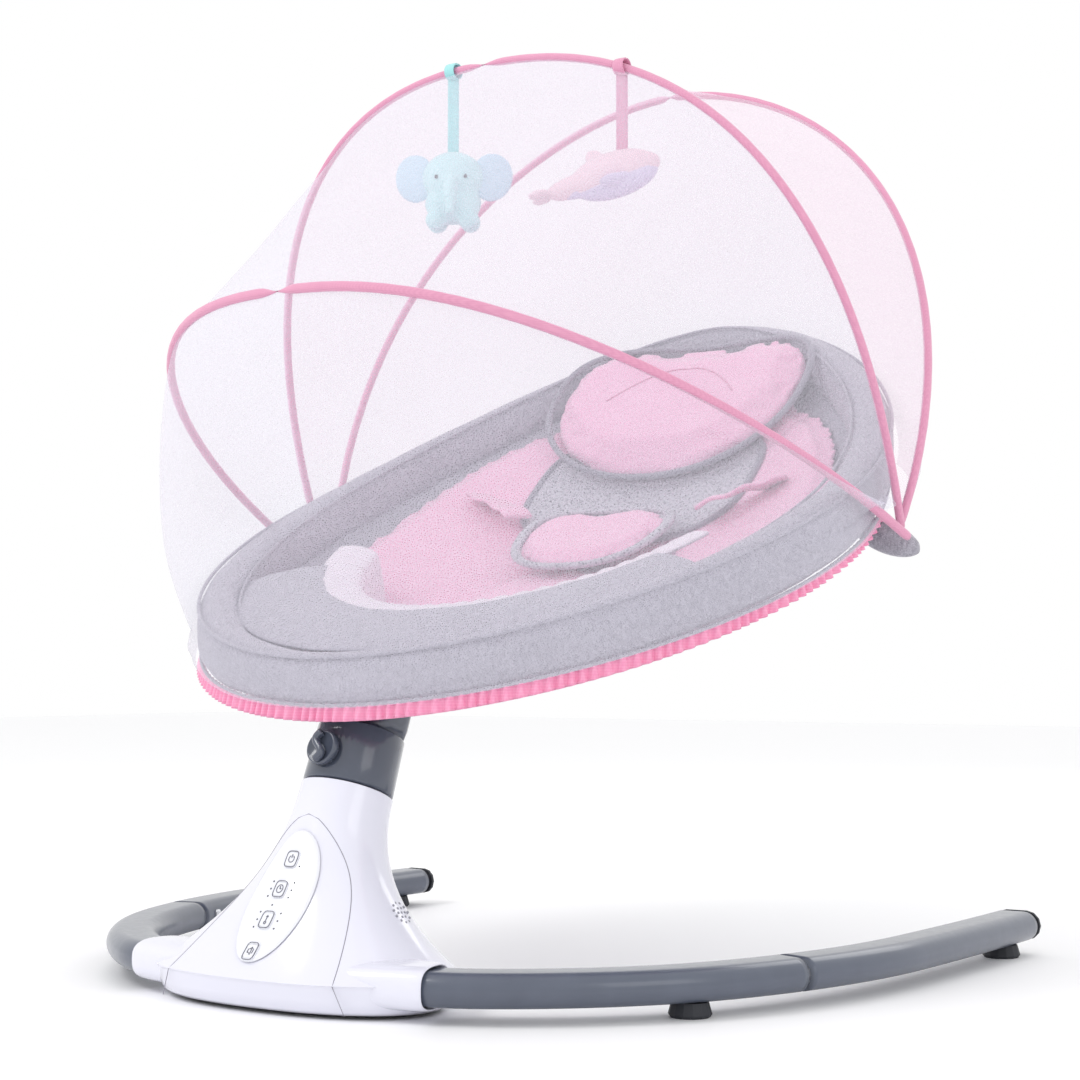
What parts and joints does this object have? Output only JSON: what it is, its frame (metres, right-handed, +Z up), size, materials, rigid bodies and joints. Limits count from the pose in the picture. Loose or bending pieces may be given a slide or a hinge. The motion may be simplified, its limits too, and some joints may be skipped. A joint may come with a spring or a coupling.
{
  "type": "electric baby swing",
  "caption": "Electric baby swing: C-shaped floor tube, drive housing with touch panel, leaning neck, padded oval seat, folding net hood and hanging soft toys.",
  "frame": {"origin": "on the floor at the middle of the bounding box's base", "axes": "+Z up, -Y towards the foot end, +X to the swing's right hand side seen from the foot"},
  "size_m": [0.624, 0.6435, 0.7071],
  "materials": {
    "steel_paint": "blue-grey satin paint",
    "steel": "plain zinc-plated steel",
    "rubber": "matt black rubber",
    "white_plastic": "gloss cool white",
    "panel_white": "gloss white film",
    "grey_plastic": "gloss dark grey",
    "copper": "enamelled copper wire",
    "board_green": "green circuit board",
    "grey_fabric": "grey heather knit",
    "pink_plush": "short pink plush",
    "grey_mesh": "grey spacer mesh",
    "pink_tape": "woven pink tape",
    "net": "fine sheer net",
    "toy_aqua": "aqua plush",
    "toy_lilac": "lilac plush"
  },
  "bodies": {
    "base": {"base_front_tube": "steel_paint", "base_rear_tube_right": "steel_paint", "base_rear_tube_left": "steel_paint", "tube_joiner_right": "steel", "tube_joiner_left": "steel", "tube_end_cap_right": "rubber", "tube_end_cap_left": "rubber", "rubber_foot_front_right": "rubber", "rubber_foot_front_left": "rubber", "rubber_foot_rear_right": "rubber", "rubber_foot_rear_left": "rubber", "housing_rear_shell": "white_plastic", "housing_front_cover": "white_plastic", "control_panel": "panel_white", "speaker_driver": "steel", "power_inlet": "grey_plastic", "housing_bottom_plate": "grey_plastic", "main_bracket": "steel", "tube_clamp": "steel", "upper_bearing": "steel", "lower_bearing": "steel", "drive_coil": "copper", "circuit_board": "board_green"},
    "swing": {"swing_shaft": "steel", "magnet_arm": "grey_plastic", "drive_magnet": "steel", "neck_shell": "grey_plastic", "seat_ring_tube": "steel", "rim_cover": "grey_fabric", "seat_bracket": "grey_plastic", "ring_clamp": "grey_plastic", "seat_sling": "grey_fabric", "liner_pad": "grey_fabric", "seat_pad": "pink_plush", "back_mesh_pad": "grey_mesh", "head_pillow": "pink_plush", "waist_pad": "pink_plush", "harness_buckle": "grey_plastic", "harness_belt_right": "pink_plush", "harness_belt_left": "pink_plush", "foot_apron": "grey_fabric", "net_hem": "pink_tape", "net_hoop_rear": "pink_tape", "net_back_panel": "net", "net_hub_right": "grey_plastic", "net_hub_left": "grey_plastic"},
    "lock_knob": {"lock_knob": "grey_plastic"},
    "net_mid": {"net_hoop_mid": "pink_tape", "net_rear_panel": "net"},
    "net_front": {"net_hoop_front": "pink_tape", "net_top_panel": "net", "net_front_panel": "net"},
    "elephant": {"elephant_toy": "toy_aqua"},
    "whale": {"whale_toy": "toy_lilac"},
    "snap_pin_right": {"snap_pin_right": "steel"},
    "snap_pin_left": {"snap_pin_left": "steel"},
    "button_1": {"button_1": "panel_white"},
    "button_2": {"button_2": "panel_white"},
    "button_3": {"button_3": "panel_white"},
    "button_4": {"button_4": "panel_white"}
  },
  "joints": [
    {"name": "seat_swing", "type": "hinge", "parent": "base", "child": "swing", "pos_m": [0, -0.2147, 0.1338], "axis": [0, 0.3584, 0.9336], "range_deg": [-12, 12]},
    {"name": "lock_knob_turn", "type": "hinge", "parent": "swing", "child": "lock_knob", "pos_m": [0, -0.23703, 0.16326], "axis": [0, -0.9336, 0.3584], "range_deg": [0, 90]},
    {"name": "net_mid_fold", "type": "hinge", "parent": "swing", "child": "net_mid", "pos_m": [0, 0.081, 0.305], "axis": [-1, 0, 0], "range_deg": [0, 20], "deforming": ["net_rear_panel"]},
    {"name": "net_front_fold", "type": "hinge", "parent": "net_mid", "child": "net_front", "pos_m": [0, 0.081, 0.305], "axis": [-1, 0, 0], "range_deg": [0, 34], "deforming": ["net_top_panel"]},
    {"name": "elephant_dangle", "type": "hinge", "parent": "net_mid", "child": "elephant", "pos_m": [-0.0293, -0.05911, 0.6681], "axis": [-0.998, 0.0228, -0.0592], "range_deg": [-22, 22]},
    {"name": "whale_dangle", "type": "hinge", "parent": "net_mid", "child": "whale", "pos_m": [0.11729, -0.05192, 0.64947], "axis": [-0.9188, -0.1421, 0.3682], "range_deg": [-22, 22]},
    {"name": "snap_pin_right_press", "type": "slide", "parent": "base", "child": "snap_pin_right", "axis": [0.9646, -0.2638, 0], "range_m": [0, 0.003], "stiffness_N_per_m": 400, "springref_m": -0.002},
    {"name": "snap_pin_left_press", "type": "slide", "parent": "base", "child": "snap_pin_left", "axis": [-0.9646, -0.2638, 0], "range_m": [0, 0.003], "stiffness_N_per_m": 400, "springref_m": -0.002},
    {"name": "button_1_press", "type": "slide", "parent": "base", "child": "button_1", "axis": [0, 0.8817, -0.4719], "range_m": [0, 0.0008], "stiffness_N_per_m": 900, "springref_m": -0.0003},
    {"name": "button_2_press", "type": "slide", "parent": "base", "child": "button_2", "axis": [0, 0.8519, -0.5237], "range_m": [0, 0.0008], "stiffness_N_per_m": 900, "springref_m": -0.0003},
    {"name": "button_3_press", "type": "slide", "parent": "base", "child": "button_3", "axis": [0, 0.8184, -0.5746], "range_m": [0, 0.0008], "stiffness_N_per_m": 900, "springref_m": -0.0003},
    {"name": "button_4_press", "type": "slide", "parent": "base", "child": "button_4", "axis": [0, 0.7783, -0.6278], "range_m": [0, 0.0008], "stiffness_N_per_m": 900, "springref_m": -0.0003}
  ]
}
